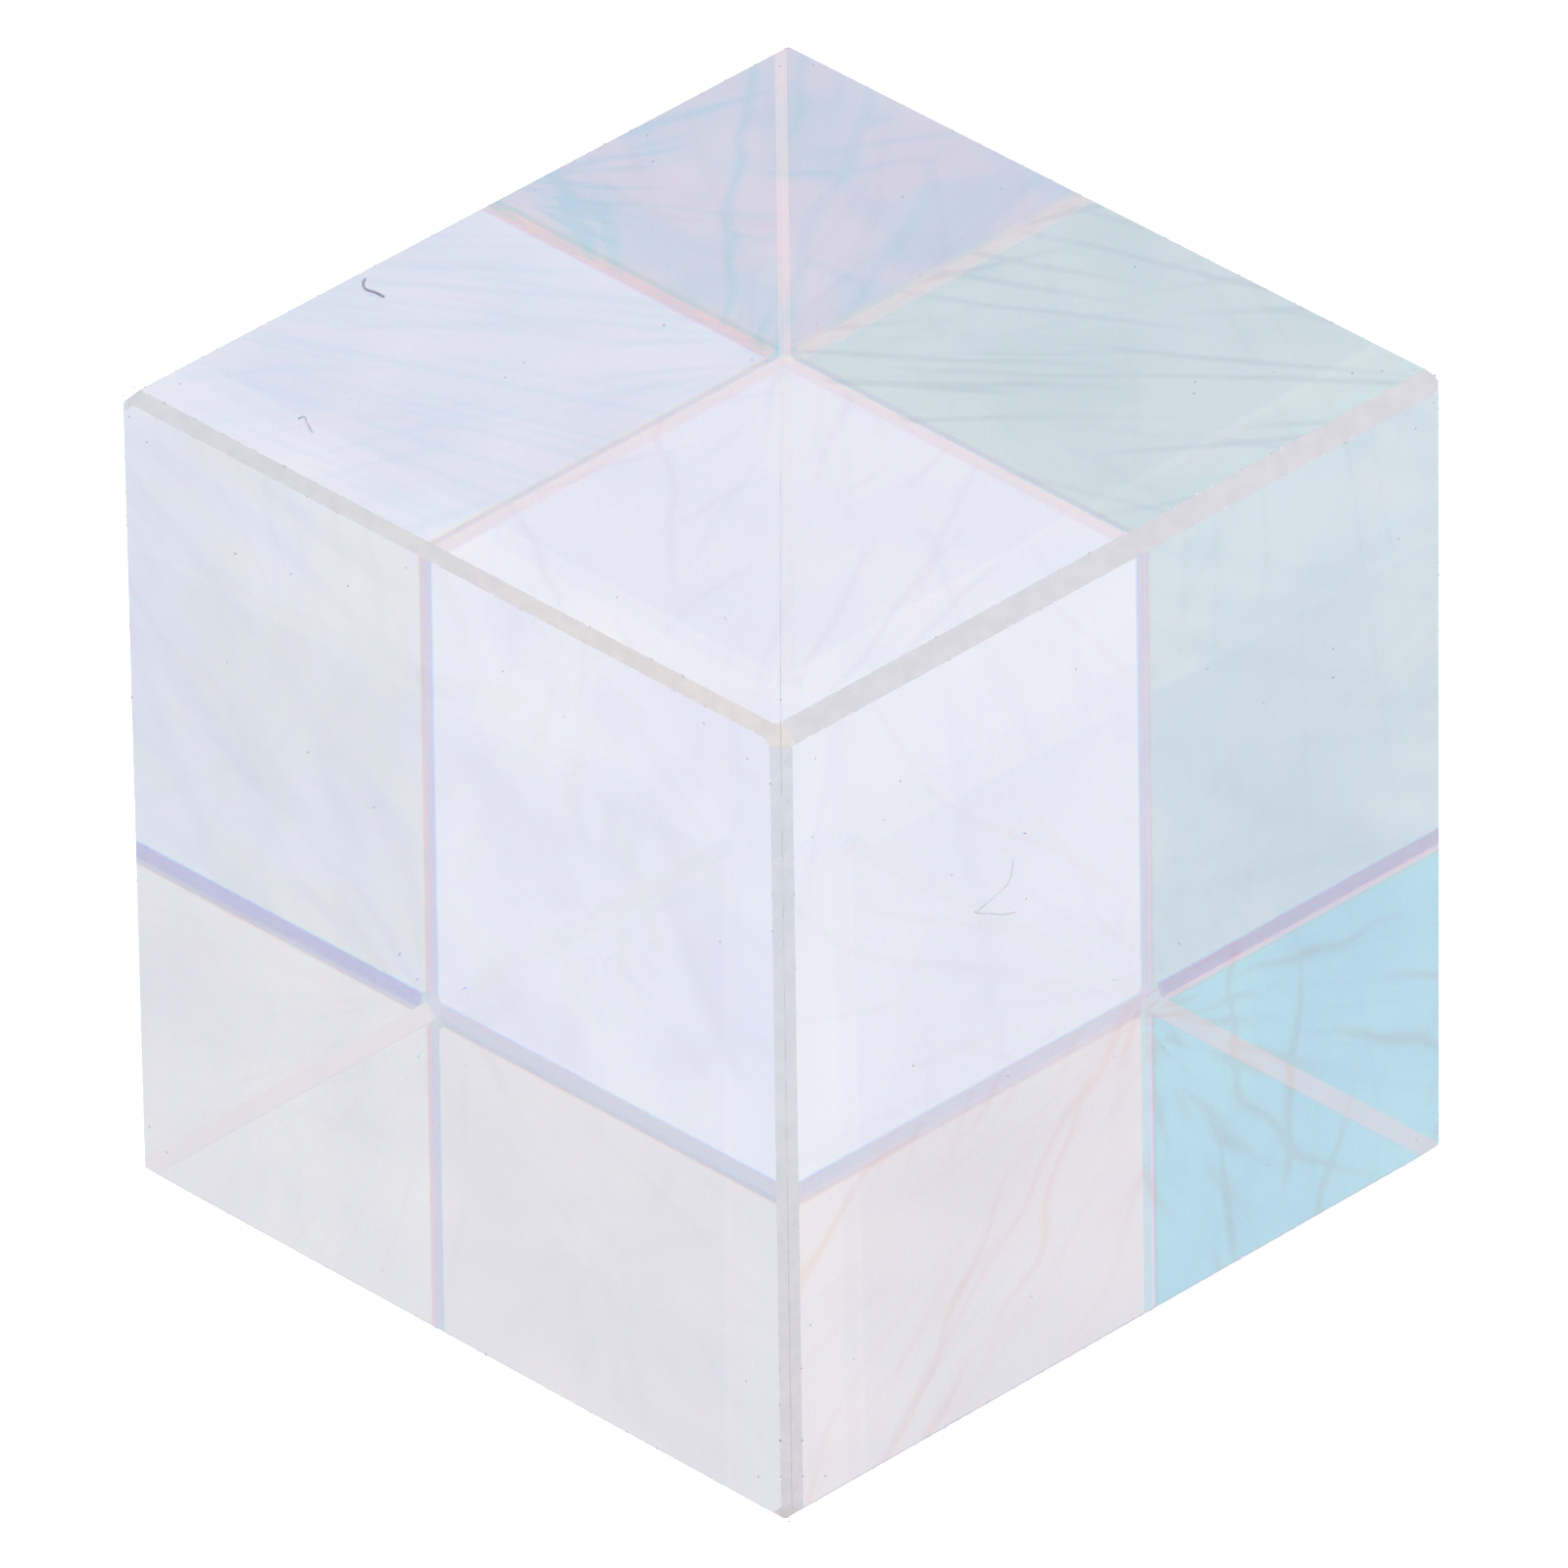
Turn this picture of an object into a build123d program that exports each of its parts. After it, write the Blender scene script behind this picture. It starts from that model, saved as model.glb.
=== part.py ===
from build123d import *
from itertools import combinations
from math import sqrt
import os

# Cube beamsplitter: two right-angle glass prisms cemented along their long
# faces, one of which carries the beamsplitting coating.
# Lengths are in millimetres. The cube stands on its bottom face, the origin is
# at the centre of that face and +Z is up. The joint runs upright from the
# front right edge of the cube to its back left edge.

# Finished cube
cube_side = 20.0

# Joint between the prisms, from the coated prism to the plain one
coating_thickness = 0.005
cement_thickness = 0.015

# Protective bevels: what each 45 degree bevel takes off both of its faces.
# They are ground by hand on the cemented cube, so no two are quite alike.
bevel_leg = 0.30
front_joint_edge_bevel_leg = 0.33
back_joint_edge_bevel_leg = 0.18
top_front_bevel_leg = 0.25
top_right_bevel_leg = 0.39
top_left_bevel_leg = 0.55
bottom_right_bevel_leg = 0.53

half_side = cube_side / 2
joint_thickness = coating_thickness + cement_thickness

# Outward direction of each face of the cube, and the bevels that have a leg of
# their own. Every other edge has the plain one.
face_directions = {
    "right": Vector(1, 0, 0),
    "left": Vector(-1, 0, 0),
    "back": Vector(0, 1, 0),
    "front": Vector(0, -1, 0),
    "top": Vector(0, 0, 1),
    "bottom": Vector(0, 0, -1),
}
special_bevel_legs = {
    frozenset(("front", "right")): front_joint_edge_bevel_leg,
    frozenset(("back", "left")): back_joint_edge_bevel_leg,
    frozenset(("front", "top")): top_front_bevel_leg,
    frozenset(("right", "top")): top_right_bevel_leg,
    frozenset(("left", "top")): top_left_bevel_leg,
    frozenset(("bottom", "right")): bottom_right_bevel_leg,
}


def bevel_leg_between(first, second):
    return special_bevel_legs.get(frozenset((first, second)), bevel_leg)


# Faces that meet: none of them lies opposite another.
def faces_meet(names):
    directions = [face_directions[name] for name in names]
    return all(abs(a.dot(b)) < 0.5 for a, b in combinations(directions, 2))


# Takes off all that stands outside a plane.
def ground_back(solid, point, outward):
    return split(solid, bisect_by=Plane(origin=point, z_dir=outward), keep=Keep.BOTTOM)


# One bevel along the edge of two faces.
def ground_edge(solid, first, second):
    along, across = face_directions[first], face_directions[second]
    leg = bevel_leg_between(first, second)
    point = (along + across) * half_side - along * leg
    return ground_back(solid, point, along + across)


# Where a face's flat ends at a corner, inside the bevels along its two edges.
def flat_corner(face, others):
    point = face_directions[face] * half_side
    for other in others:
        point += face_directions[other] * (half_side - bevel_leg_between(face, other))
    return point


# One small facet at a corner, square to the cube's long diagonal there. It is
# as deep as the innermost corner of the three flats around it.
def ground_corner(solid, names):
    outward = sum((face_directions[name] for name in names), Vector(0, 0, 0))
    ends = [flat_corner(name, [n for n in names if n != name]) for name in names]
    innermost = min(ends, key=lambda end: end.dot(outward))
    return ground_back(solid, innermost, outward)


# The outside of the finished cube: flat faces, twelve bevels, eight corner facets.
def finished_outside():
    outside = Box(cube_side, cube_side, cube_side)
    for pair in combinations(face_directions, 2):
        if faces_meet(pair):
            outside = ground_edge(outside, *pair)
    for corner in combinations(face_directions, 3):
        if faces_meet(corner):
            outside = ground_corner(outside, corner)
    return Pos(0, 0, half_side) * outside


# Right-angle prism as sawn, with its square edge upright at the front left.
# Its long face stops half a joint short of the cube's diagonal.
def prism_blank():
    leg = cube_side - joint_thickness / sqrt(2)
    outline = make_face(Polyline((0, 0), (leg, 0), (0, leg), close=True))
    return extrude(Pos(-half_side, -half_side) * outline, cube_side)


# A layer on the long face of the coated prism. Offsets run from the cube's
# diagonal towards the plain prism.
def joint_layer(near_offset, thickness):
    joint_plane = Plane(origin=(0, 0, half_side), x_dir=(-1, 1, 0), z_dir=(1, 1, 0))
    outline = Rectangle(cube_side * sqrt(2), cube_side)
    return extrude(joint_plane.offset(near_offset) * outline, thickness)


# The joint is centred on the diagonal. Every piece ends flush with the outside,
# because faces and bevels are finished after cementing.
outside = finished_outside()
coating_start = -joint_thickness / 2
cement_start = coating_start + coating_thickness
blanks = {
    "coated_prism": prism_blank(),
    "beamsplitter_coating": joint_layer(coating_start, coating_thickness),
    "cement_layer": joint_layer(cement_start, cement_thickness),
    "plain_prism": Rot(Z=180) * prism_blank(),
}

os.makedirs("parts", exist_ok=True)
for name, blank in blanks.items():
    piece = blank & outside
    piece.label = name
    export_step(piece, f"parts/{name}.step")
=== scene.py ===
import math
import bmesh
import bpy
from mathutils import Matrix, Vector


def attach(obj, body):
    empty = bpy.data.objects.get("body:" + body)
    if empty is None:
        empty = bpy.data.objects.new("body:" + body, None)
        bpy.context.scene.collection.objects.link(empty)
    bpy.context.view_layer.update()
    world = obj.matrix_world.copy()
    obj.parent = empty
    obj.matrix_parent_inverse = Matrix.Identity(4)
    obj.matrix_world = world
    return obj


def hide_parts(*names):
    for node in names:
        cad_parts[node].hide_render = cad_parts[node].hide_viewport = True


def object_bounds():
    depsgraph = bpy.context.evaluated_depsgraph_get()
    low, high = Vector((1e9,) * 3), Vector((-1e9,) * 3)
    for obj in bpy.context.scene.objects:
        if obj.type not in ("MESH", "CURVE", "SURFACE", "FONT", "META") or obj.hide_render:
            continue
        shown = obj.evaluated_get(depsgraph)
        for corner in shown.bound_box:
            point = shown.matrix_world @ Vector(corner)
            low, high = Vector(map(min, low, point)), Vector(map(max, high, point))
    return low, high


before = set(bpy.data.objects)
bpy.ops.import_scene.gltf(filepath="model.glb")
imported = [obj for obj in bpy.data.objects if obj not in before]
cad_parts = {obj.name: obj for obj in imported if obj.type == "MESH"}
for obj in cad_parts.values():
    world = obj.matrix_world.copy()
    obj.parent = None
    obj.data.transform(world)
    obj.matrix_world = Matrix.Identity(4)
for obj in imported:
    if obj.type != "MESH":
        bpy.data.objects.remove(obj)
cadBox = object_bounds()
lowCorner, highCorner = cadBox
cubeCentre = (lowCorner + highCorner) / 2
# the cube's side and half of it in millimetres, as the formulas and tables below use them
side = round((highCorner.x - lowCorner.x) * 1000, 3)
half = side / 2
white = (1, 1, 1, 1)
scene = bpy.context.scene


# Short forms for node trees
def addNode(tree, kind, inputs=None, **settings):
    node = tree.nodes.new(kind)
    for name, value in settings.items():
        setattr(node, name, value)
    for name, value in (inputs or {}).items():
        if isinstance(value, bpy.types.NodeSocket):
            tree.links.new(value, node.inputs[name])
        else:
            node.inputs[name].default_value = value
    return node


def mathNode(tree, operation, *values, clamp=False):
    inputs = dict(enumerate(values))
    return addNode(tree, "ShaderNodeMath", inputs, operation=operation, use_clamp=clamp).outputs[0]


def splitVector(tree, vector):
    return addNode(tree, "ShaderNodeSeparateXYZ", {0: vector}).outputs


def mixNumber(tree, share, first, second):
    return addNode(tree, "ShaderNodeMix", {"Factor": share, "A": first, "B": second}).outputs[0]


def mixColour(tree, share, first, second, blend="MIX"):
    node = addNode(tree, "ShaderNodeMix", data_type="RGBA", blend_type=blend)
    for slot, value in zip((0, 6, 7), (share, first, second)):
        if isinstance(value, bpy.types.NodeSocket):
            tree.links.new(value, node.inputs[slot])
        else:
            node.inputs[slot].default_value = value
    return node.outputs[2]


def tinted(tree, first, second):
    return mixColour(tree, 1.0, first, second, blend="MULTIPLY")


def mixShader(tree, share, first, second):
    return addNode(tree, "ShaderNodeMixShader", {0: share, 1: first, 2: second}).outputs[0]


def smoothRange(tree, value, low, high):
    inputs = {"Value": value, "From Min": low, "From Max": high}
    return addNode(tree, "ShaderNodeMapRange", inputs, interpolation_type="SMOOTHSTEP").outputs[0]


def fade(tree, value, span, first, second):
    return mixColour(tree, smoothRange(tree, value, *span), first, second)


def noise(tree, place, scale, detail, **settings):
    inputs = {"Vector": place, "Scale": scale, "Detail": detail}
    return addNode(tree, "ShaderNodeTexNoise", inputs, **settings).outputs[0]


def lightPath(tree):
    return addNode(tree, "ShaderNodeLightPath").outputs


def offGlass(tree):
    path = lightPath(tree)
    return mathNode(tree, "MAXIMUM", path["Is Glossy Ray"], path["Is Transmission Ray"])


def newMaterial(name):
    material = bpy.data.materials.new(name)
    material.use_nodes = True
    material.node_tree.nodes.clear()
    return material, material.node_tree


def finishMaterial(tree, surface):
    output = addNode(tree, "ShaderNodeOutputMaterial")
    tree.links.new(surface, output.inputs["Surface"])


# The camera looks along the joint at the near upright edge.
camera = {"azimuth": 45.426, "elevation": 32.589, "roll": -0.840, "distance": 0.6289,
          "lens": 676.0, "sensor": 36, "aimRight": -0.0000527, "aimUp": -0.0001810}
lightTurns = {"all": 32, "glossy": 24, "transmission": 24, "transparent": 64}


def makeCamera():
    azimuth, elevation = math.radians(camera["azimuth"]), math.radians(camera["elevation"])
    back = Vector((math.sin(azimuth) * math.cos(elevation),
                   -math.cos(azimuth) * math.cos(elevation), math.sin(elevation)))
    right = Vector((math.cos(azimuth), math.sin(azimuth), 0))
    up = back.cross(right)
    roll = math.radians(camera["roll"])
    data = bpy.data.cameras.new("camera")
    data.lens = camera["lens"]
    data.sensor_width = camera["sensor"]
    eye = bpy.data.objects.new("camera", data)
    scene.collection.objects.link(eye)
    aim = cubeCentre + right * camera["aimRight"] + up * camera["aimUp"]
    eye.location = aim + back * camera["distance"]
    rolledRight = right * math.cos(roll) + up * math.sin(roll)
    rolledUp = back.cross(rolledRight)
    turn = [[rolledRight[i], rolledUp[i], back[i]] for i in range(3)]
    eye.rotation_euler = Matrix(turn).to_euler()
    scene.camera = eye


makeCamera()
scene.view_settings.view_transform = "Standard"
scene.cycles.max_bounces = lightTurns["all"]
scene.cycles.glossy_bounces = lightTurns["glossy"]
scene.cycles.transmission_bounces = lightTurns["transmission"]
scene.cycles.transparent_max_bounces = lightTurns["transparent"]
scene.cycles.denoising_input_passes = "RGB"
scene.cycles.sampling_pattern = "TABULATED_SOBOL"
print("camera ready")

# The studio: a white room for the eye and for matt surfaces. What leaves the glass meets softly
# tinted sides instead, with dim joins between them.
studio = {
    "light": (0.86, 0.86, 0.86, 1),
    "turn": 0.25,   # how softly one side's tint passes into the next
    # tint seen through the glass, keyed by the signs of the way out
    "sides": {
        (-1, 1, -1): (0.87, 0.875, 0.95, 1),
        (-1, -1, -1): (0.665, 0.765, 0.785, 1),
        (1, 1, -1): (0.835, 0.835, 0.925, 1),
        (1, -1, -1): (0.745, 0.705, 0.81, 1),
        (-1, 1, 1): (0.85, 0.815, 0.840, 1),
        (-1, -1, 1): (0.43, 0.76, 0.865, 1),
        (1, 1, 1): (0.955, 0.87, 0.855, 1),
        (1, -1, 1): (0.70, 0.72, 0.76, 1),
    },
    # what lies below: pale at the back left, rosy at the right, greyer in front
    "belowPale": (1.0, 0.875, 0.92, 1), "belowRose": (1.0, 0.63, 0.64, 1),
    "belowGrey": (0.86, 0.82, 0.78, 1), "belowRange": (0.66, 0.76), "belowTurn": (-0.3, 0.3),
    # the dim joins between the sides: bluer at the back right, paler at the back left
    "gap": (0.33, 0.33, 0.62, 1), "gapRange": (0.15, 0.38),
    "blueGap": (0.35, 0.39, 0.86, 1), "blueRange": (0.0, 1.0),
    "paleGap": (0.58, 0.62, 0.82, 1), "paleRange": (0.5, 1.1),
    "skyGap": (0.42, 0.88, 1.0, 1), "skyGapWay": (-0.835, 0.117, 0.537),
    "skyGapRange": (0.86, 0.96),
    # the dimmer stretch straight in front of the cube's near edge
    "onlooker": (0.26, 0.28, 0.50, 1), "onlookerWay": (0.602, -0.590, 0.5375),
    "onlookerRange": (0.972, 0.986),
    "floorSide": 3.0, "floorGap": 0.00002, "floorCloth": (0.9, 0.9, 0.9, 1), "floorGlow": 0.55,
    "lampPower": 1.2, "lampSide": 0.6, "lampPlace": (0.25, -0.15, 0.8),
}


def makeWorld():
    world = bpy.data.worlds.new("studio")
    world.use_nodes = True
    scene.world = world
    tree = world.node_tree
    tree.nodes.clear()
    way = addNode(tree, "ShaderNodeTexCoord").outputs["Generated"]
    parts = splitVector(tree, way)
    turn = studio["turn"]
    shares = [smoothRange(tree, part, -turn, turn) for part in parts]

    def blendSides(signs):
        if len(signs) == 3:
            return studio["sides"][signs]
        axis = len(signs)
        return mixColour(tree, shares[axis], blendSides(signs + (-1,)), blendSides(signs + (1,)))

    def towards(target):
        node = addNode(tree, "ShaderNodeVectorMath", {0: way, 1: target}, operation="DOT_PRODUCT")
        return node.outputs["Value"]

    sizes = [mathNode(tree, "ABSOLUTE", part) for part in parts]
    least = mathNode(tree, "MINIMUM", mathNode(tree, "MINIMUM", sizes[0], sizes[1]), sizes[2])
    leftward = mathNode(tree, "SUBTRACT", parts[1], parts[0])
    rightward = mathNode(tree, "ADD", parts[1], parts[0])
    downward = mathNode(tree, "MULTIPLY", parts[2], -1.0)
    gap = fade(tree, rightward, studio["blueRange"], studio["gap"], studio["blueGap"])
    gap = fade(tree, leftward, studio["paleRange"], gap, studio["paleGap"])
    gap = fade(tree, towards(studio["skyGapWay"]), studio["skyGapRange"], gap, studio["skyGap"])
    below = fade(tree, rightward, studio["belowTurn"], studio["belowGrey"], studio["belowRose"])
    below = fade(tree, leftward, studio["belowTurn"], below, studio["belowPale"])
    tint = fade(tree, least, studio["gapRange"], gap, blendSides(()))
    tint = fade(tree, downward, studio["belowRange"], tint, below)
    tint = fade(tree, towards(studio["onlookerWay"]), studio["onlookerRange"],
                tint, studio["onlooker"])
    path = lightPath(tree)
    seenThrough = mathNode(tree, "SUBTRACT", offGlass(tree), path["Is Diffuse Ray"], clamp=True)
    colour = mixColour(tree, seenThrough, studio["light"], tint)
    colour = mixColour(tree, path["Is Camera Ray"], colour, white)
    background = addNode(tree, "ShaderNodeBackground", {"Color": colour, "Strength": 1.0})
    output = addNode(tree, "ShaderNodeOutputWorld")
    tree.links.new(background.outputs[0], output.inputs["Surface"])


def makeFloor():
    mesh = bpy.data.meshes.new("floor")
    shape = bmesh.new()
    bmesh.ops.create_grid(shape, x_segments=1, y_segments=1, size=studio["floorSide"] / 2)
    bmesh.ops.translate(shape, verts=shape.verts, vec=(0, 0, lowCorner.z - studio["floorGap"]))
    shape.to_mesh(mesh)
    shape.free()
    floor = bpy.data.objects.new("floor", mesh)
    scene.collection.objects.link(floor)
    material, tree = newMaterial("paleFloor")
    cloth = addNode(tree, "ShaderNodeBsdfDiffuse", {"Color": studio["floorCloth"]}).outputs[0]
    glow = addNode(tree, "ShaderNodeEmission", {"Color": white, "Strength": studio["floorGlow"]})
    lit = addNode(tree, "ShaderNodeAddShader", {0: cloth, 1: glow.outputs[0]}).outputs[0]
    seen = mixShader(tree, lightPath(tree)["Is Camera Ray"], cloth, lit)
    clear = addNode(tree, "ShaderNodeBsdfTransparent").outputs[0]
    finishMaterial(tree, mixShader(tree, offGlass(tree), seen, clear))
    mesh.materials.append(material)


def makeLamp():
    data = bpy.data.lights.new("softBox", "AREA")
    data.energy = studio["lampPower"]
    data.size = studio["lampSide"]
    lamp = bpy.data.objects.new("softBox", data)
    lamp.location = studio["lampPlace"]
    lamp.rotation_euler = (cubeCentre - lamp.location).to_track_quat("-Z", "Y").to_euler()
    lamp.visible_glossy = False
    lamp.visible_transmission = False
    scene.collection.objects.link(lamp)


makeWorld()
makeFloor()
makeLamp()
print("studio ready")

# The polished glass. Colours part a little at the first surface. A point farther than "flatEnd"
# from the middle lies on a flat face, and light that has turned "markedTurns" times shows no marks.
glass = {"ior": 1.529, "redIor": 1.5245, "blueIor": 1.5345, "worn": (0.98, 0.982, 0.99, 1),
         "shadow": (0.96, 0.97, 0.98, 1), "flatEnd": 9.99, "markedTurns": 3.5}

# Dried wiping marks, in millimetres. On each far face two fans of strokes cross. A fan is the
# place it spreads from and how many strokes it has in one radian. "widths" holds the breadth of
# the strokes of the near fan and of the far fan, and how plainly both show.
smears = {
    "left": {"near": (10.6, 0.4, 5.0), "far": (24.0, -14.0, 17.0), "widths": (0.16, 0.14, 0.22),
             "tint": (0.97, 0.85, 0.83, 1)},
    "back": {"near": (-4.8, 4.2, 2.6), "far": (-4.0, 34.0, 9.0), "widths": (0.40, 0.30, 0.25),
             "tint": (0.89, 0.90, 0.91, 1)},
    "base": {"near": (-9.5, 11.5, 4.5), "far": (-26.0, 24.0, 19.0), "widths": (0.20, 0.16, 0.18),
             "tint": (0.84, 0.87, 0.91, 1)},
}
stroke = {"bendScale": 0.10, "bend": 0.10, "run": 1.5, "spread": 0.9, "shown": (0.42, 0.70)}
haze = {"scale": 0.16, "range": (0.35, 0.68), "tint": (0.965, 0.97, 0.985, 1)}


def letLampsThrough(tree, surface):
    clear = addNode(tree, "ShaderNodeBsdfTransparent", {"Color": glass["shadow"]}).outputs[0]
    return mixShader(tree, lightPath(tree)["Is Shadow Ray"], surface, clear)


def clearGlass(tree, colour, ior, roughness=0.0):
    inputs = {"Color": colour, "Roughness": roughness, "IOR": ior}
    return addNode(tree, "ShaderNodeBsdfGlass", inputs).outputs[0]


def millimetres(tree):
    place = addNode(tree, "ShaderNodeTexCoord").outputs["Object"]
    scaled = addNode(tree, "ShaderNodeVectorMath", {0: place, "Scale": 1000.0}, operation="SCALE")
    parts = splitVector(tree, scaled.outputs[0])
    return scaled.outputs[0], parts[0], parts[1], parts[2]


def strokeFan(tree, across, along, fan, width, bend):
    focus = splitVector(tree, fan)
    right = mathNode(tree, "SUBTRACT", across, focus[0])
    ahead = mathNode(tree, "SUBTRACT", along, focus[1])
    squares = mathNode(tree, "MULTIPLY_ADD", right, right, mathNode(tree, "MULTIPLY", ahead, ahead))
    reach = mathNode(tree, "SQRT", squares)
    angle = mathNode(tree, "ARCTAN2", ahead, right)
    turn = mathNode(tree, "MULTIPLY_ADD", angle, focus[2], bend)
    edge = addNode(tree, "ShaderNodeTexVoronoi", {"W": turn, "Scale": 1.0},
                   feature="DISTANCE_TO_EDGE", voronoi_dimensions="1D").outputs[0]
    gap = mathNode(tree, "MULTIPLY", edge, mathNode(tree, "DIVIDE", reach, focus[2]))
    lines = mathNode(tree, "SUBTRACT", 1.0, smoothRange(tree, gap, 0.0, width))
    run = mathNode(tree, "MULTIPLY", stroke["run"], mathNode(tree, "LOGARITHM", reach, math.e))
    spread = mathNode(tree, "MULTIPLY", turn, stroke["spread"])
    spot = addNode(tree, "ShaderNodeCombineXYZ", {0: spread, 1: run}).outputs[0]
    shown = noise(tree, spot, 1.0, 0.0, noise_dimensions="2D")
    return mathNode(tree, "MULTIPLY", lines, smoothRange(tree, shown, *stroke["shown"]))


def smearTint(tree):
    place, x, y, z = millimetres(tree)
    end = glass["flatEnd"]
    onFace = {"left": mathNode(tree, "LESS_THAN", x, -end),
              "back": mathNode(tree, "GREATER_THAN", y, end),
              "base": mathNode(tree, "LESS_THAN", z, half - end)}

    def perFace(key):
        total = (0.0, 0.0, 0.0)
        for name, smear in smears.items():
            inputs = {0: onFace[name], 1: smear[key], 2: total}
            added = addNode(tree, "ShaderNodeVectorMath", inputs, operation="MULTIPLY_ADD")
            total = added.outputs[0]
        return total

    across = mixNumber(tree, onFace["left"], x, y)
    along = mixNumber(tree, onFace["base"], z, y)
    wander = noise(tree, place, stroke["bendScale"], 0.0)
    widths = splitVector(tree, perFace("widths"))
    fans = [perFace("near"), perFace("far")]
    marks = 0.0
    for fan, width in zip(fans, widths):
        spokes = mathNode(tree, "MULTIPLY", splitVector(tree, fan)[2], stroke["bend"])
        bend = mathNode(tree, "MULTIPLY", wander, spokes)
        strokes = strokeFan(tree, across, along, fan, width, bend)
        marks = mathNode(tree, "ADD", strokes, marks, clamp=True)
    marks = mathNode(tree, "MULTIPLY", marks, widths[2])
    tint = white
    for name, smear in smears.items():
        tint = mixColour(tree, onFace[name], tint, smear["tint"])
    cloud = noise(tree, place, haze["scale"], 1.0)
    hazed = fade(tree, cloud, haze["range"], white, haze["tint"])
    return tinted(tree, hazed, mixColour(tree, marks, white, tint))


# Marks on the top, front and right faces. The far edges part each face, as seen through the
# glass, into four quarters, and each quarter has marks of its own: two fans of strokes, "look"
# with the strokes' breadth, how much they bend and how plainly they show, their tint, and a
# cloudy tint. A quarter is keyed by whether it lies past the border across and past the one
# along the face.
quarters = {
    "borders": {"top": (-0.6, 0.55), "front": (-0.65, 8.7), "right": (0.7, 8.6)},
    "clean": {"near": (0.0, 0.0, 4.0), "far": (30.0, 0.0, 9.0), "look": (0.3, 0.2, 0.0),
              "tint": (0.95, 0.95, 0.97), "cloud": (0.985, 0.985, 0.995)},
    "behind": {"near": (-7.0, 2.0, 6.0), "far": (15.0, 26.0, 14.0), "look": (0.30, 0.7, 0.55),
               "tint": (0.93, 0.94, 0.97), "cloud": (0.97, 0.975, 0.99)},
    ("top", 1, 0): {"near": (3.0, 4.6, 5.0), "far": (12.5, -15.0, 9.0), "look": (0.16, 0.5, 0.5),
                    "tint": (0.93, 0.90, 0.94), "cloud": (0.97, 0.985, 1.0)},
    ("top", 1, 1): {"near": (-4.0, -3.0, 11.0), "far": (15.5, 13.5, 15.0),
                    "look": (0.20, 0.35, 0.62),
                    "tint": (0.85, 0.85, 0.90), "cloud": (0.96, 0.985, 0.975)},
    ("top", 0, 0): {"near": (1.0, 3.0, 10.0), "far": (-19.0, -10.6, 34.0),
                    "look": (0.26, 0.7, 0.55),
                    "tint": (0.87, 0.975, 1.0), "cloud": (0.955, 0.985, 1.0)},
    ("top", 0, 1): {"near": (3.5, -6.0, 17.0), "far": (-10.5, 0.8, 8.0), "look": (0.30, 1.2, 0.85),
                    "tint": (0.80, 0.985, 1.0), "cloud": (0.87, 0.99, 1.0)},
    ("front", 1, 1): {"near": (4.0, 19.0, 5.0), "far": (7.0, 4.0, 3.0), "look": (0.60, 0.5, 0.4),
                      "tint": (0.965, 0.965, 0.90), "cloud": (0.955, 0.945, 1.0)},
    ("front", 0, 1): {"near": (-0.5, 8.0, 5.0), "far": (-14.0, 21.0, 9.0),
                      "look": (0.60, 0.6, 0.6),
                      "tint": (0.93, 0.94, 0.99), "cloud": (1.0, 0.995, 0.94)},
    ("right", 0, 1): {"near": (0.2, 9.0, 4.0), "far": (-7.0, 27.0, 7.0), "look": (0.40, 0.8, 0.45),
                      "tint": (0.95, 0.95, 0.97), "cloud": (0.98, 0.985, 0.98)},
    ("right", 1, 1): {"near": (32.0, 1.8, 30.0), "far": (-15.0, 28.0, 18.0),
                      "look": (0.55, 0.9, 0.7),
                      "tint": (0.95, 0.97, 0.975), "cloud": (0.95, 0.985, 1.0)},
    ("right", 0, 0): {"near": (-12.0, -5.0, 9.0), "far": (2.6, 13.5, 6.0),
                      "look": (0.22, 1.0, 0.75),
                      "tint": (1.0, 0.90, 0.865), "cloud": (1.0, 0.985, 0.98)},
    ("right", 1, 0): {"near": (0.2, 8.2, 7.0), "far": (4.6, -4.2, 8.0), "look": (0.24, 1.5, 0.85),
                      "tint": (1.0, 0.89, 0.85), "cloud": (0.98, 0.98, 0.995)},
}
quarterCloud = {"scale": 0.35, "range": (0.40, 0.62), "rightShare": 0.6}


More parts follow.
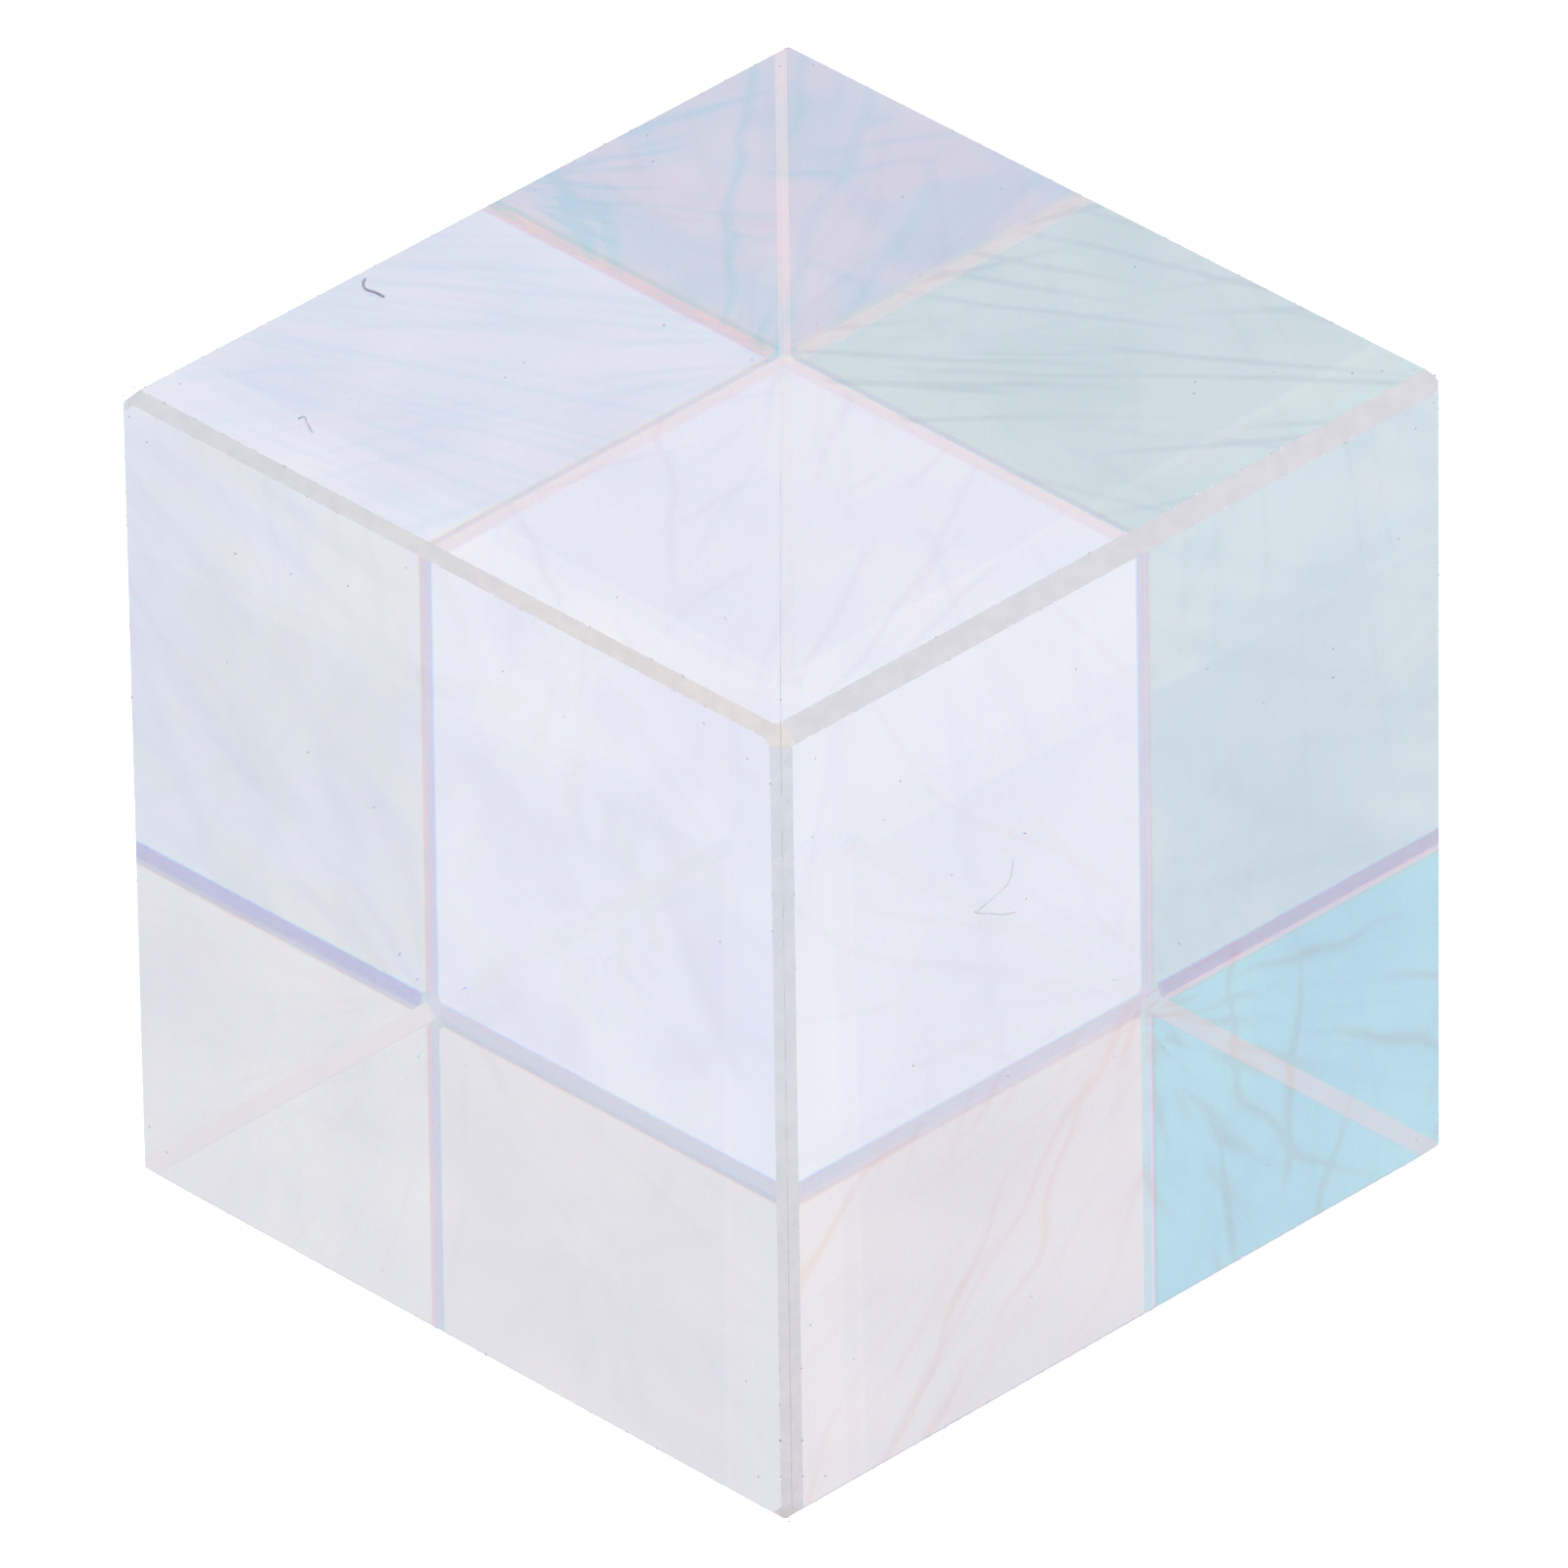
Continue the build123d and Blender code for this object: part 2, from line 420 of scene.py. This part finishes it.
def quarterTint(tree):
    place, x, y, z = millimetres(tree)
    end = glass["flatEnd"]
    onTop = mathNode(tree, "GREATER_THAN", z, half + end)
    onFront = mathNode(tree, "LESS_THAN", y, -end)
    onRight = mathNode(tree, "GREATER_THAN", x, end)
    onLeft = mathNode(tree, "LESS_THAN", x, -end)
    onBehind = mathNode(tree, "MAXIMUM", onLeft, mathNode(tree, "GREATER_THAN", y, end))
    offBottom = mathNode(tree, "GREATER_THAN", z, half - end)
    alongX = mathNode(tree, "SUBTRACT", 1.0, mathNode(tree, "MAXIMUM", onRight, onLeft))
    across = mixNumber(tree, alongX, y, x)
    along = mixNumber(tree, onTop, z, y)

    def choose(share, first, second):
        inputs = {"Factor": share, "A": first, "B": second}
        return addNode(tree, "ShaderNodeMix", inputs, data_type="VECTOR").outputs[1]

    beyond = {face: (mathNode(tree, "GREATER_THAN", across, borders[0]),
                     mathNode(tree, "GREATER_THAN", along, borders[1]))
              for face, borders in quarters["borders"].items()}

    def perQuarter(key):
        found = {}
        for face, (isAcross, isAlong) in beyond.items():
            value = [quarters.get((face, i, j), quarters["clean"])[key]
                     for i in (0, 1) for j in (0, 1)]
            found[face] = choose(isAcross, choose(isAlong, value[0], value[1]),
                                 choose(isAlong, value[2], value[3]))
        near = choose(onTop, choose(onFront, found["right"], found["front"]), found["top"])
        return choose(onBehind, near, quarters["behind"][key])

    look = splitVector(tree, perQuarter("look"))
    wander = noise(tree, place, quarterCloud["scale"], 1.0)
    bend = mathNode(tree, "MULTIPLY", wander, look[1])
    marks = 0.0
    for key in ("near", "far"):
        strokes = strokeFan(tree, across, along, perQuarter(key), look[0], bend)
        marks = mathNode(tree, "ADD", strokes, marks, clamp=True)
    # the top's far quarter is less marked to the right of the joint
    isFar = mathNode(tree, "LESS_THAN", x, quarters["borders"]["top"][0])
    isRight = mathNode(tree, "GREATER_THAN", mathNode(tree, "ADD", x, y), 0.0)
    corner = mathNode(tree, "MULTIPLY", onTop, mathNode(tree, "MULTIPLY", isFar, isRight))
    fewer = mixNumber(tree, corner, 1.0, quarterCloud["rightShare"])
    marks = mathNode(tree, "MULTIPLY", mathNode(tree, "MULTIPLY", marks, look[2]),
                     mathNode(tree, "MULTIPLY", offBottom, fewer))
    blot = mathNode(tree, "MULTIPLY", smoothRange(tree, wander, *quarterCloud["range"]), offBottom)
    return tinted(tree, mixColour(tree, marks, white, perQuarter("tint")),
                  mixColour(tree, blot, white, perQuarter("cloud")))


def makePolishedGlass():
    material, tree = newMaterial("polishedGlass")
    plain = clearGlass(tree, smearTint(tree), glass["ior"])
    nearTint = quarterTint(tree)
    spread = None
    for colour, ior in (((1, 0, 0, 1), glass["redIor"]), ((0, 1, 0, 1), glass["ior"]),
                        ((0, 0, 1, 1), glass["blueIor"])):
        band = clearGlass(tree, tinted(tree, colour, nearTint), ior)
        if spread is None:
            spread = band
        else:
            spread = addNode(tree, "ShaderNodeAddShader", {0: spread, 1: band}).outputs[0]
    clean = clearGlass(tree, glass["worn"], glass["ior"])
    path = lightPath(tree)
    turned = mathNode(tree, "GREATER_THAN", path["Ray Depth"], glass["markedTurns"])
    marked = mixShader(tree, path["Is Camera Ray"], plain, spread)
    finishMaterial(tree, letLampsThrough(tree, mixShader(tree, turned, marked, clean)))
    return material


# The ground bevels: matt from outside. From inside they scatter most of what they hold in.
bevel = {
    "roughness": 0.32, "matte": 0.88, "innerMatte": (0.5, 1.0), "cornerStart": 9.55,
    # painted colour fringes: light that falls in steeply is tinted from violet to rose across the
    # bevel, by the edge's own lean, standing in for dispersion
    "rose": (0.97, 0.88, 0.92, 1), "violet": (0.92, 0.90, 0.98, 1), "lean": (-0.24, 0.24),
    # painted tint and shade of the light held in by the far edges, one colour per edge: the upright
    # one, the back one below and the left one below
    "heldUpright": (0.96, 0.83, 0.915, 1), "heldBack": (0.78, 0.84, 0.915, 1),
    "heldLeft": (0.94, 0.90, 0.95, 1),
    # painted shade: what a face has mirrored squarely onto a bevel is painted faint, down to
    # 'late', once it has turned more than 'lateTurns' times; what slants in is only tinted
    # 'slanting'
    "square": (0.52, 0.60), "slanting": (0.935, 0.91, 0.95, 1),
    "late": (0.25, 0.25, 0.25, 1), "lateTurns": 1.5,
    # the ground surface: upright edges above and below, and the front top edge from left to right.
    # The level edges, 'level' and 'frontTop', carry painted shade: they are painted darker because
    # the top ones face the lamp
    "upright": ((0.83, 0.80, 0.84, 1), (0.81, 0.84, 0.91, 1)), "uprightRange": (2.0, 18.0),
    "frontTop": ((0.76, 0.77, 0.81, 1), (0.85, 0.80, 0.79, 1)), "frontTopRange": (-8.0, 8.0),
    "level": (0.79, 0.775, 0.825, 1), "mottle": (0.94, 0.95, 0.96, 1), "mottleScale": 2.5,
}
mottleRange = (0.35, 0.65)


def offCentre(tree, x, y, z):
    return [mathNode(tree, "ABSOLUTE", part)
            for part in (x, y, mathNode(tree, "SUBTRACT", z, half))]


# Painted colour fringes: a violet-to-rose tint across each bevel that stands in for dispersion
def bevelTint(tree):
    sizes = offCentre(tree, *millimetres(tree)[1:])
    upright = mathNode(tree, "LESS_THAN", sizes[2], bevel["cornerStart"])
    alongY = mathNode(tree, "LESS_THAN", sizes[1], bevel["cornerStart"])
    level = mixNumber(tree, alongY, mathNode(tree, "SUBTRACT", sizes[1], sizes[2]),
                      mathNode(tree, "SUBTRACT", sizes[0], sizes[2]))
    across = mixNumber(tree, upright, level, mathNode(tree, "SUBTRACT", sizes[0], sizes[1]))
    return fade(tree, across, bevel["lean"], bevel["violet"], bevel["rose"])


def awayFromCorners(tree):
    sizes = offCentre(tree, *millimetres(tree)[1:])
    least = mathNode(tree, "MINIMUM", mathNode(tree, "MINIMUM", sizes[0], sizes[1]), sizes[2])
    return mathNode(tree, "LESS_THAN", least, bevel["cornerStart"])


# Painted tint and shade of the held light: each far edge gets a colour of its own
def heldColour(tree):
    x, y, z = millimetres(tree)[1:]
    start = bevel["cornerStart"]
    atBack = mathNode(tree, "GREATER_THAN", y, start)
    level = mixColour(tree, atBack, bevel["heldLeft"], bevel["heldBack"])
    onBottom = mathNode(tree, "LESS_THAN", z, half - start)
    return mixColour(tree, onBottom, bevel["heldUpright"], level)


def groundColour(tree):
    place, x, y, z = millimetres(tree)
    start = bevel["cornerStart"]
    onLevel = mathNode(tree, "GREATER_THAN", offCentre(tree, x, y, z)[2], start)
    onFront = mathNode(tree, "LESS_THAN", y, -start)
    upright = fade(tree, z, bevel["uprightRange"], *bevel["upright"])
    # Painted shade: the level edges are painted darker, since the top ones face the lamp
    frontTop = fade(tree, x, bevel["frontTopRange"], *bevel["frontTop"])
    level = mixColour(tree, onFront, bevel["level"], frontTop)
    grain = noise(tree, place, bevel["mottleScale"], 2.0)
    mottle = fade(tree, grain, mottleRange, white, bevel["mottle"])
    return tinted(tree, mixColour(tree, onLevel, upright, level), mottle)


def makeGroundBevel():
    material, tree = newMaterial("groundBevel")
    body = clearGlass(tree, white, glass["ior"], bevel["roughness"])
    matte = addNode(tree, "ShaderNodeBsdfDiffuse", {"Color": groundColour(tree)}).outputs[0]
    outside = mixShader(tree, bevel["matte"], body, matte)
    held = addNode(tree, "ShaderNodeFresnel", {"IOR": glass["ior"]}).outputs[0]
    depth = lightPath(tree)["Ray Depth"]
    # Painted shade: light that has turned more than once and meets the bevel squarely is painted
    # dark
    bounced = mathNode(tree, "GREATER_THAN", depth, bevel["lateTurns"])
    facing = addNode(tree, "ShaderNodeLayerWeight", {"Blend": 0.5}).outputs["Facing"]
    slant = smoothRange(tree, facing, *bevel["square"])
    square = mathNode(tree, "MULTIPLY", mathNode(tree, "SUBTRACT", held, slant, clamp=True),
                      awayFromCorners(tree))
    bright = mixColour(tree, slant, white, bevel["slanting"])
    shade = mixColour(tree, mathNode(tree, "MULTIPLY", bounced, square), bright, bevel["late"])
    # The scatter's colour: painted colour fringes or painted per-edge tint, times the painted shade
    tint = tinted(tree, mixColour(tree, held, bevelTint(tree), heldColour(tree)), shade)
    scatter = addNode(tree, "ShaderNodeBsdfTranslucent", {"Color": tint}).outputs[0]
    low, high = bevel["innerMatte"]
    share = addNode(tree, "ShaderNodeMapRange", {"Value": held, "To Min": low, "To Max": high})
    inside = mixShader(tree, share.outputs[0], body, scatter)
    leaving = addNode(tree, "ShaderNodeNewGeometry").outputs["Backfacing"]
    finishMaterial(tree, letLampsThrough(tree, mixShader(tree, leaving, outside, inside)))
    return material


def makeBondFace():
    material, tree = newMaterial("bondFace")
    finishMaterial(tree, addNode(tree, "ShaderNodeBsdfTransparent").outputs[0])
    return material


polishedGlass, groundBevel, bondFace = makePolishedGlass(), makeGroundBevel(), makeBondFace()
# How faces are told apart, in metres where it is a distance
sorting = {"flat": 0.99, "tilt": 0.01, "onJoint": 0.0001, "weld": 1e-7}


def isFlat(normal):
    return max(abs(v) for v in normal) > sorting["flat"]


def dressPrism(node):
    mesh = node.data
    mesh.materials.clear()
    for material in (polishedGlass, groundBevel, bondFace):
        mesh.materials.append(material)
    for face in mesh.polygons:
        normal, centre = face.normal, face.center
        onJoint = abs(centre.x + centre.y) < sorting["onJoint"]
        facesJoint = abs(normal.z) < sorting["tilt"] and normal.x * normal.y > 0
        if isFlat(normal):
            face.material_index = 0
        else:
            face.material_index = 2 if onJoint and facesJoint else 1


for name in ("coated_prism", "plain_prism"):
    dressPrism(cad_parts[name])
print("prisms ready")

# The joint: the coating and the cement, each a hair clear of its neighbours. The coating mirrors
# more of the light that meets it steeply.
joint = {"clearance": 0.000001, "steep": 0.30, "shallow": 0.43, "steepMirror": 0.16,
         "shallowMirror": 0.03, "passed": (0.99, 1.0, 1.0, 1), "mirrored": (1.0, 0.98, 1.0, 1)}


def makeCoating():
    material, tree = newMaterial("dielectricCoating")
    through = addNode(tree, "ShaderNodeBsdfTransparent", {"Color": joint["passed"]}).outputs[0]
    mirror = addNode(tree, "ShaderNodeBsdfGlossy", {"Color": joint["mirrored"], "Roughness": 0.0})
    facing = addNode(tree, "ShaderNodeLayerWeight", {"Blend": 0.5}).outputs["Facing"]
    share = addNode(tree, "ShaderNodeMapRange", {
        "Value": facing, "From Min": joint["steep"], "From Max": joint["shallow"],
        "To Min": joint["steepMirror"], "To Max": joint["shallowMirror"],
    }, interpolation_type="SMOOTHSTEP").outputs[0]
    lit = mathNode(tree, "SUBTRACT", 1.0, lightPath(tree)["Is Shadow Ray"])
    share = mathNode(tree, "MULTIPLY", share, lit)
    finishMaterial(tree, mixShader(tree, share, through, mirror.outputs[0]))
    return material


def makeLayer(node, name, broadMaterials):
    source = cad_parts[node]
    shape = bmesh.new()
    shape.from_mesh(source.data)
    bmesh.ops.remove_doubles(shape, verts=shape.verts, dist=sorting["weld"])
    across = Vector((1, 1, 0)).normalized()
    middle = sum(v.co.dot(across) for v in shape.verts) / len(shape.verts)
    for vert in shape.verts:
        way = 1 if vert.co.dot(across) > middle else -1
        vert.co -= across * way * joint["clearance"]
    shape.normal_update()
    for face in shape.faces:
        face.smooth = False
        lean = face.normal.dot(across)
        if abs(lean) > sorting["flat"]:
            face.material_index = 0 if lean < 0 else 1
        else:
            face.material_index = 2 if isFlat(face.normal) else 3
    mesh = bpy.data.meshes.new(name)
    shape.to_mesh(mesh)
    shape.free()
    for material in broadMaterials + (polishedGlass, groundBevel):
        mesh.materials.append(material)
    layer = bpy.data.objects.new(name, mesh)
    scene.collection.objects.link(layer)
    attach(layer, "root")
    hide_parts(node)


makeLayer("beamsplitter_coating", "beamsplitterFilm",
          (makeCoating(), bondFace))
makeLayer("cement_layer", "cementBond", (bondFace, bondFace))
print("joint ready")


# Fine dirt and wear. Each tree below turns a mesh of points or lines into a plain mesh.
def newTree(name, inputs):
    tree = bpy.data.node_groups.new(name, "GeometryNodeTree")
    sockets = tree.interface
    sockets.new_socket(name="Geometry", in_out="INPUT", socket_type="NodeSocketGeometry")
    for inputName, kind in inputs.items():
        sockets.new_socket(name=inputName, in_out="INPUT", socket_type="NodeSocket" + kind)
    sockets.new_socket(name="Geometry", in_out="OUTPUT", socket_type="NodeSocketGeometry")
    return tree, addNode(tree, "NodeGroupInput").outputs


def endTree(tree, geometry, material):
    solid = addNode(tree, "GeometryNodeRealizeInstances", {"Geometry": geometry}).outputs[0]
    coated = addNode(tree, "GeometryNodeSetMaterial", {"Geometry": solid, "Material": material})
    end = addNode(tree, "NodeGroupOutput")
    tree.links.new(coated.outputs[0], end.inputs[0])


def growPiece(name, points, lines, faces, tree, values):
    base = bpy.data.meshes.new(name + "Base")
    base.from_pydata([Vector(p) / 1000 for p in points], lines, faces)
    source = bpy.data.objects.new(name + "Base", base)
    scene.collection.objects.link(source)
    modifier = source.modifiers.new("grow", "NODES")
    modifier.node_group = tree
    for item in tree.interface.items_tree:
        if item.in_out == "INPUT" and item.name in values:
            modifier[item.identifier] = values[item.name]
    grown = source.evaluated_get(bpy.context.evaluated_depsgraph_get())
    mesh = bpy.data.meshes.new_from_object(grown)
    mesh.name = name
    source.modifiers.clear()
    bpy.data.objects.remove(source)
    piece = bpy.data.objects.new(name, mesh)
    scene.collection.objects.link(piece)
    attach(piece, "root")


def makeGrit(name, dark, light, scale):
    material, tree = newMaterial(name)
    mottle = noise(tree, millimetres(tree)[0], scale, 2.0)
    colour = fade(tree, mottle, mottleRange, dark, light)
    body = addNode(tree, "ShaderNodeBsdfPrincipled", {"Base Color": colour, "Roughness": 0.8})
    finishMaterial(tree, body.outputs[0])
    return material


# Small shapes of one kind, each turned and squashed by its own draws
specks = {"turned": 6.28, "squashedDust": 0.3, "squashedChip": 0.25}


def scatterSpecks(tree, given, least, inputs):
    speck = addNode(tree, "GeometryNodeMeshIcoSphere", {"Radius": 0.5, "Subdivisions": 1})

    def draw(low, high, seed):
        limits = {"Min": (low,) * 3, "Max": (high,) * 3, "Seed": seed}
        return addNode(tree, "FunctionNodeRandomValue", limits, data_type="FLOAT_VECTOR").outputs[0]

    turn = draw(0, specks["turned"], given["Seed"])
    squash = draw(least, 1.0, mathNode(tree, "ADD", given["Seed"], 1))
    scale = addNode(tree, "ShaderNodeVectorMath", {0: squash, "Scale": given["Size"]},
                    operation="SCALE")
    inputs = {**inputs, "Instance": speck.outputs[0], "Rotation": turn, "Scale": scale.outputs[0]}
    placed = addNode(tree, "GeometryNodeInstanceOnPoints", inputs).outputs[0]
    endTree(tree, placed, given["Material"])


# Fibres that lie on the faces: the course of each in millimetres
fibres = {
    "topHookFibre": {"thickness": 0.055, "dark": (0.26, 0.26, 0.34, 1),
                     "light": (0.42, 0.42, 0.50, 1),
                     "course": [(-9.16, -3.35, 20.03), (-9.05, -3.52, 20.05), (-8.86, -3.62, 20.03),
                                (-8.62, -3.60, 20.05), (-8.36, -3.57, 20.03)]},
    "topPaleFibre": {"thickness": 0.04, "dark": (0.52, 0.52, 0.62, 1),
                     "light": (0.68, 0.68, 0.75, 1),
                     "course": [(-6.18, -8.25, 20.02), (-6.08, -8.15, 20.06), (-5.95, -8.22, 20.03),
                                (-5.75, -8.34, 20.05), (-5.56, -8.42, 20.02)]},
    "sideThread": {"thickness": 0.017, "dark": (0.60, 0.61, 0.64, 1),
                   "light": (0.74, 0.75, 0.77, 1),
                   "course": [(10.01, -3.20, 13.80), (10.03, -3.28, 13.48), (10.01, -3.38, 13.28),
                              (10.03, -3.76, 13.17), (10.02, -4.11, 13.08), (10.02, -4.32, 13.00),
                              (10.03, -4.24, 12.95), (10.02, -3.94, 12.81), (10.02, -3.56, 12.60),
                              (10.01, -3.12, 12.46)]},
}
strand = {"steps": 40, "sides": 8, "mottleScale": 6.0}


def makeStrandTree():
    tree, given = newTree("strand", {"Thickness": "Float", "Material": "Material"})
    curve = addNode(tree, "GeometryNodeMeshToCurve", {"Mesh": given["Geometry"]}).outputs[0]
    smooth = addNode(tree, "GeometryNodeCurveSplineType", {"Curve": curve},
                     spline_type="CATMULL_ROM").outputs[0]
    fine = addNode(tree, "GeometryNodeResampleCurve", {"Curve": smooth, "Count": strand["steps"]})
    radius = mathNode(tree, "MULTIPLY", given["Thickness"], 0.5)
    ring = addNode(tree, "GeometryNodeCurvePrimitiveCircle",
                   {"Resolution": strand["sides"], "Radius": radius}).outputs[0]
    tube = addNode(tree, "GeometryNodeCurveToMesh",
                   {"Curve": fine.outputs[0], "Profile Curve": ring, "Fill Caps": True})
    endTree(tree, tube.outputs[0], given["Material"])
    return tree


def makeFibres():
    tree = makeStrandTree()
    for name, fibre in fibres.items():
        course = fibre["course"]
        lines = [(i, i + 1) for i in range(len(course) - 1)]
        grit = makeGrit(name, fibre["dark"], fibre["light"], strand["mottleScale"])
        growPiece(name, course, lines, [], tree,
                  {"Thickness": fibre["thickness"] / 1000, "Material": grit})


# Grains of dust: the plain ones in millimetres, and a thin scatter over all but the bottom face
dust = {
    "size": 0.055, "seed": 7, "inset": 1.0, "perSquareMetre": 9000.0, "mottleScale": 3.0,
    "dark": (0.12, 0.12, 0.16, 1), "light": (0.40, 0.40, 0.46, 1),
    "grains": [(10, -5.03, 14.27), (10, -1.27, 17.66), (10, -6.51, 17.29), (10, -9.12, 17.11),
               (10, -3.43, 8.48), (10, -9.38, 5.02), (10, -8.11, 3.54), (10, -4.34, 13.02),
               (10, -2.82, 12.65), (-1.15, -10, 19.28), (-2.93, -10, 18.05), (1.72, -10, 17.96),
               (7.72, -10, 19.32), (5.92, -7.56, 20), (3.7, -8.55, 20), (-2.0, 8.69, 20)],
}


def makeGrainTree():
    tree, given = newTree("grains", {"Density": "Float", "Size": "Float", "Seed": "Int",
                                     "Material": "Material"})
    scattered = addNode(tree, "GeometryNodeDistributePointsOnFaces",
                        {"Mesh": given["Geometry"], "Density": given["Density"],
                         "Seed": given["Seed"]}).outputs["Points"]
    loose = addNode(tree, "GeometryNodeMeshToPoints", {"Mesh": given["Geometry"]}).outputs[0]
    both = addNode(tree, "GeometryNodeJoinGeometry")
    tree.links.new(scattered, both.inputs[0])
    tree.links.new(loose, both.inputs[0])
    scatterSpecks(tree, given, specks["squashedDust"], {"Points": both.outputs[0]})
    return tree


def makeDust():
    inset = dust["inset"]
    level = (inset - half, half - inset)
    corners = [(x, y, z) for x in level for y in level for z in (inset, side - inset)]
    points, faces = [], []
    for axis, height in ((0, -half), (0, half), (1, -half), (1, half), (2, side)):
        middle = half if axis == 2 else 0
        ends = [list(c) for c in corners if (c[axis] > middle) == (height > 0)]
        for end in ends:
            end[axis] = height
        start = len(points)
        points += [tuple(ends[i]) for i in (0, 1, 3, 2)]
        faces.append(tuple(range(start, start + 4)))
    grit = makeGrit("dustGrit", dust["dark"], dust["light"], dust["mottleScale"])
    growPiece("dustGrains", points + dust["grains"], [], faces, makeGrainTree(), {
        "Density": dust["perSquareMetre"], "Size": dust["size"] / 1000, "Seed": dust["seed"],
        "Material": grit})


makeFibres()
makeDust()
print("lint and dust ready")

# Tiny chips that the grinding left along both borders of the bevels. The bright ones are partly
# painted highlights: near-white specks that stand in for the glints the chips catch
chips = {
    # painted highlights on real chips: near-white specks for their glints
    "bright": {"spacing": 0.42, "size": 0.075, "share": 0.55, "seed": 3,
               "dark": (0.88, 0.88, 0.92, 1), "light": (0.97, 0.97, 0.99, 1)},
    "dull": {"spacing": 0.9, "size": 0.060, "share": 0.30, "seed": 11,
             "dark": (0.36, 0.33, 0.38, 1), "light": (0.60, 0.57, 0.62, 1)},
    # how much each chipped bevel takes off both of its faces, keyed by its two faces
    "bevels": {("front", "right"): 0.33, ("front", "top"): 0.25, ("right", "top"): 0.39,
               ("left", "top"): 0.55, ("back", "top"): 0.30, ("front", "left"): 0.30,
               ("back", "right"): 0.30, ("front", "bottom"): 0.30, ("right", "bottom"): 0.53},
    "reach": 9.6, "mottleScale": 4.0,
}
outward = {"right": Vector((1, 0, 0)), "left": Vector((-1, 0, 0)), "back": Vector((0, 1, 0)),
           "front": Vector((0, -1, 0)), "top": Vector((0, 0, 1)), "bottom": Vector((0, 0, -1))}


def bevelBorders():
    points, lines = [], []
    centre = Vector((0, 0, half))
    for (first, second), leg in chips["bevels"].items():
        along = outward[first].cross(outward[second]) * chips["reach"]
        for flat, other in ((first, second), (second, first)):
            middle = outward[flat] * half + outward[other] * (half - leg) + centre
            points += [middle - along, middle + along]
            lines.append((len(points) - 2, len(points) - 1))
    return points, lines


def makeChipTree():
    tree, given = newTree("chips", {"Spacing": "Float", "Size": "Float", "Share": "Float",
                                    "Seed": "Int", "Material": "Material"})
    curve = addNode(tree, "GeometryNodeMeshToCurve", {"Mesh": given["Geometry"]}).outputs[0]
    points = addNode(tree, "GeometryNodeCurveToPoints",
                     {"Curve": curve, "Length": given["Spacing"]}, mode="LENGTH").outputs["Points"]
    kept = addNode(tree, "FunctionNodeRandomValue",
                   {"Probability": given["Share"], "Seed": given["Seed"]},
                   data_type="BOOLEAN").outputs[3]
    scatterSpecks(tree, given, specks["squashedChip"], {"Points": points, "Selection": kept})
    return tree


def makeChips():
    points, lines = bevelBorders()
    tree = makeChipTree()
    for kind in ("bright", "dull"):
        style = chips[kind]
        grit = makeGrit(kind + "Chip", style["dark"], style["light"], chips["mottleScale"])
        growPiece(kind + "Chips", points, lines, [], tree, {
            "Spacing": style["spacing"] / 1000, "Size": style["size"] / 1000,
            "Share": style["share"], "Seed": style["seed"], "Material": grit})


makeChips()
print("chips ready")
